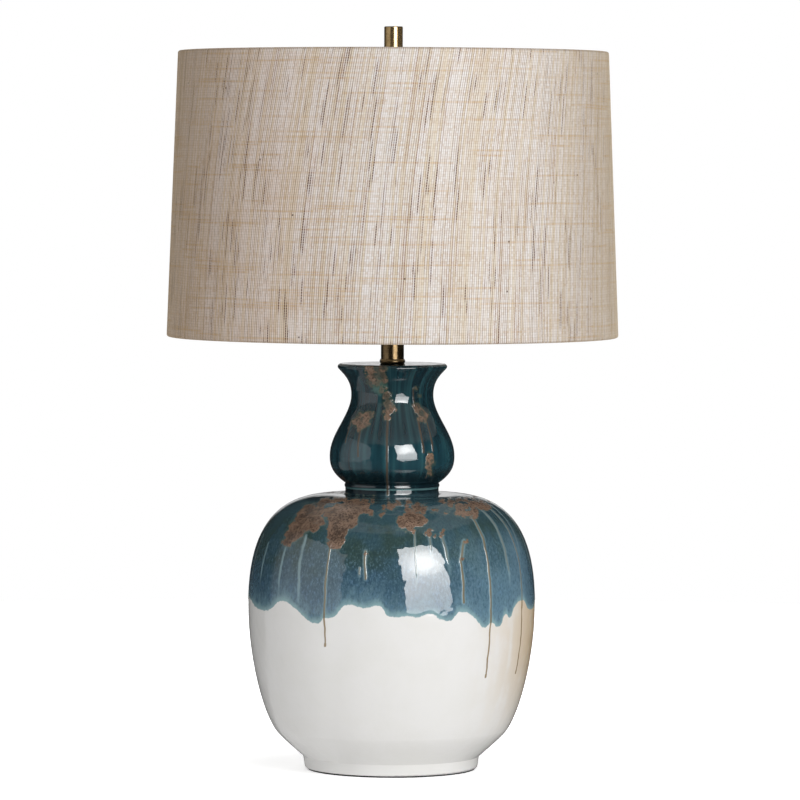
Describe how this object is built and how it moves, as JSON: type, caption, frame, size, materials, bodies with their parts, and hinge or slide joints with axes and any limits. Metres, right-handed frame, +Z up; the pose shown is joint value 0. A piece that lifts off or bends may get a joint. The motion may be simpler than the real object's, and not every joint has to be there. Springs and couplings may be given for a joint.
{
  "type": "gourd table lamp",
  "caption": "Table lamp with a gourd-shaped drip-glazed ceramic base, brass neck, turn-knob socket, wire harp and a tapered fabric drum shade held by a finial.",
  "frame": {"origin": "centre of the felt pad's underside, on the table", "axes": "+Z up; -Y is the front, with the switch knob; +X is right seen from the front"},
  "size_m": [0.4321, 0.4322, 0.711],
  "materials": {
    "drip_glaze": "gloss",
    "felt": "felt",
    "black_plastic": "satin",
    "zinc_steel": "satin",
    "antique_brass": "satin",
    "harp_brass": "satin",
    "socket_brass": "gloss",
    "fibre_paper": "matte",
    "phenolic": "satin",
    "frosted_glass": "frosted",
    "bulb_metal": "satin",
    "raffia_fabric": "woven",
    "shade_lining": "matte",
    "white_wire": "satin"
  },
  "bodies": {
    "lamp_base": {"ceramic_body": "drip_glaze", "felt_base_pad": "felt", "cord_grommet": "black_plastic", "rod_bush": "black_plastic", "threaded_rod": "zinc_steel", "bottom_plate_washer": "zinc_steel", "bottom_lock_washer": "zinc_steel", "bottom_nut": "zinc_steel", "cap_set_screw": "zinc_steel", "neck_ring": "antique_brass", "brass_neck": "antique_brass", "harp_saddle": "harp_brass", "saddle_nut": "harp_brass", "harp_wire": "harp_brass", "harp_stud": "harp_brass", "socket_cap": "socket_brass", "socket_shell": "socket_brass", "terminal_screws": "socket_brass", "socket_screw_shell": "socket_brass", "socket_contact": "socket_brass", "socket_liner": "fibre_paper", "socket_body": "phenolic"},
    "shade": {"shade_fabric": "raffia_fabric", "shade_liner": "shade_lining", "shade_top_ring": "white_wire", "shade_bottom_ring": "white_wire", "shade_spider": "white_wire"},
    "finial": {"finial": "antique_brass"},
    "switch": {"switch_shaft": "zinc_steel", "switch_knob": "black_plastic"},
    "bulb": {"bulb_glass": "frosted_glass", "bulb_screw_base": "bulb_metal", "bulb_insulator": "phenolic", "bulb_contact": "bulb_metal"},
    "sleeve_left": {"harp_sleeve_left": "harp_brass"},
    "sleeve_right": {"harp_sleeve_right": "harp_brass"}
  },
  "joints": [
    {"name": "shade_turn", "type": "hinge", "parent": "lamp_base", "child": "shade", "pos_m": [0, 0, 0.6726], "axis": [0, 0, 1], "continuous": true},
    {"name": "finial_lift", "type": "slide", "parent": "lamp_base", "child": "finial", "axis": [0, 0, 1], "range_m": [0, 0.016]},
    {"name": "switch_turn", "type": "hinge", "parent": "lamp_base", "child": "switch", "pos_m": [0, -0.018, 0.4806], "axis": [0, -1, 0], "continuous": true},
    {"name": "bulb_lift", "type": "slide", "parent": "lamp_base", "child": "bulb", "axis": [0, 0, 1], "range_m": [0, 0.03]},
    {"name": "sleeve_left_lift", "type": "slide", "parent": "lamp_base", "child": "sleeve_left", "axis": [0, 0, 1], "range_m": [0, 0.01]},
    {"name": "sleeve_right_lift", "type": "slide", "parent": "lamp_base", "child": "sleeve_right", "axis": [0, 0, 1], "range_m": [0, 0.01]}
  ]
}
